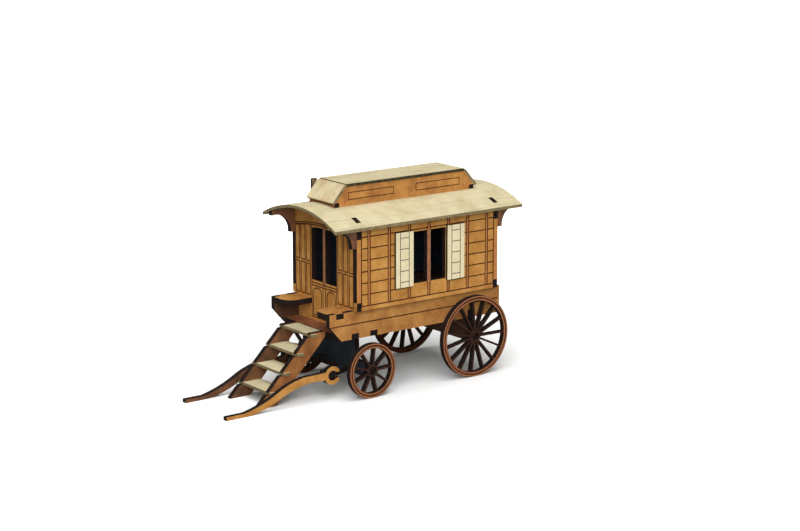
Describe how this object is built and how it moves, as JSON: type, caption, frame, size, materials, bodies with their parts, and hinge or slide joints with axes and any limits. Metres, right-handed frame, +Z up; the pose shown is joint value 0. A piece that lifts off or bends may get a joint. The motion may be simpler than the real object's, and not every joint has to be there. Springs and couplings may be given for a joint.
{
  "type": "model vardo wagon",
  "caption": "Small slotted sheet and card model of a vardo living wagon with a bow roof, clerestory, spoked wheels, steps and a pair of shafts.",
  "frame": {"origin": "on the ground, under the middle of the whole length and width", "axes": "+X forward towards the shafts, +Y to the wagon's left, +Z up"},
  "size_m": [0.1235, 0.0448, 0.0743],
  "materials": {
    "sheet_board": "raw fibreboard with charred cut edges",
    "pale_card": "matt uncoated card",
    "scorched_card": "card with scorched edges",
    "plain_dowel": "bare stick"
  },
  "bodies": {
    "wagon": {"chassis_plate_left": "sheet_board", "chassis_plate_right": "sheet_board", "deck": "sheet_board", "tail_board": "sheet_board", "porch_floor": "sheet_board", "porch_shelf_left": "sheet_board", "porch_shelf_right": "sheet_board", "front_wall": "sheet_board", "rear_wall": "sheet_board", "side_wall_left": "sheet_board", "side_wall_right": "sheet_board", "lantern_side_left": "sheet_board", "lantern_side_right": "sheet_board", "lantern_strip_front": "sheet_board", "lantern_strip_rear": "sheet_board", "rear_axle_board": "sheet_board", "stringer_left": "sheet_board", "stringer_right": "sheet_board", "shutter_front_left": "pale_card", "shutter_front_right": "pale_card", "shutter_rear_left": "pale_card", "shutter_rear_right": "pale_card", "roof": "pale_card", "lantern_top": "pale_card", "lantern_slope_front": "pale_card", "lantern_slope_rear": "pale_card", "tread_1": "pale_card", "tread_2": "pale_card", "tread_3": "pale_card", "tread_4": "pale_card", "stovepipe": "scorched_card"},
    "fore_carriage": {"turntable": "sheet_board", "kingpin": "plain_dowel", "front_axle_board": "sheet_board", "draught_plate": "sheet_board"},
    "wheel_rear_left": {"wheel_rear_left": "sheet_board"},
    "wheel_rear_right": {"wheel_rear_right": "sheet_board"},
    "wheel_front_left": {"wheel_front_left": "sheet_board"},
    "wheel_front_right": {"wheel_front_right": "sheet_board"},
    "shaft_left": {"shaft_left": "sheet_board"},
    "shaft_right": {"shaft_right": "sheet_board"}
  },
  "joints": [
    {"name": "steer", "type": "hinge", "parent": "wagon", "child": "fore_carriage", "pos_m": [0.0056, 0, 0.0214], "axis": [0, 0, 1], "range_deg": [-3, 3]},
    {"name": "wheel_rear_left_spin", "type": "hinge", "parent": "wagon", "child": "wheel_rear_left", "pos_m": [-0.0406, 0.0207, 0.015], "axis": [0, 1, 0], "continuous": true},
    {"name": "wheel_front_left_spin", "type": "hinge", "parent": "fore_carriage", "child": "wheel_front_left", "pos_m": [0.0056, 0.0207, 0.00985], "axis": [0, 1, 0], "continuous": true},
    {"name": "shaft_left_lift", "type": "hinge", "parent": "fore_carriage", "child": "shaft_left", "pos_m": [0.0176, 0.01325, 0.0085], "axis": [0, -1, 0], "range_deg": [0, 70]},
    {"name": "wheel_rear_right_spin", "type": "hinge", "parent": "wagon", "child": "wheel_rear_right", "pos_m": [-0.0406, -0.0207, 0.015], "axis": [0, 1, 0], "continuous": true},
    {"name": "wheel_front_right_spin", "type": "hinge", "parent": "fore_carriage", "child": "wheel_front_right", "pos_m": [0.0056, -0.0207, 0.00985], "axis": [0, 1, 0], "continuous": true},
    {"name": "shaft_right_lift", "type": "hinge", "parent": "fore_carriage", "child": "shaft_right", "pos_m": [0.0176, -0.01325, 0.0085], "axis": [0, -1, 0], "range_deg": [0, 70]}
  ]
}
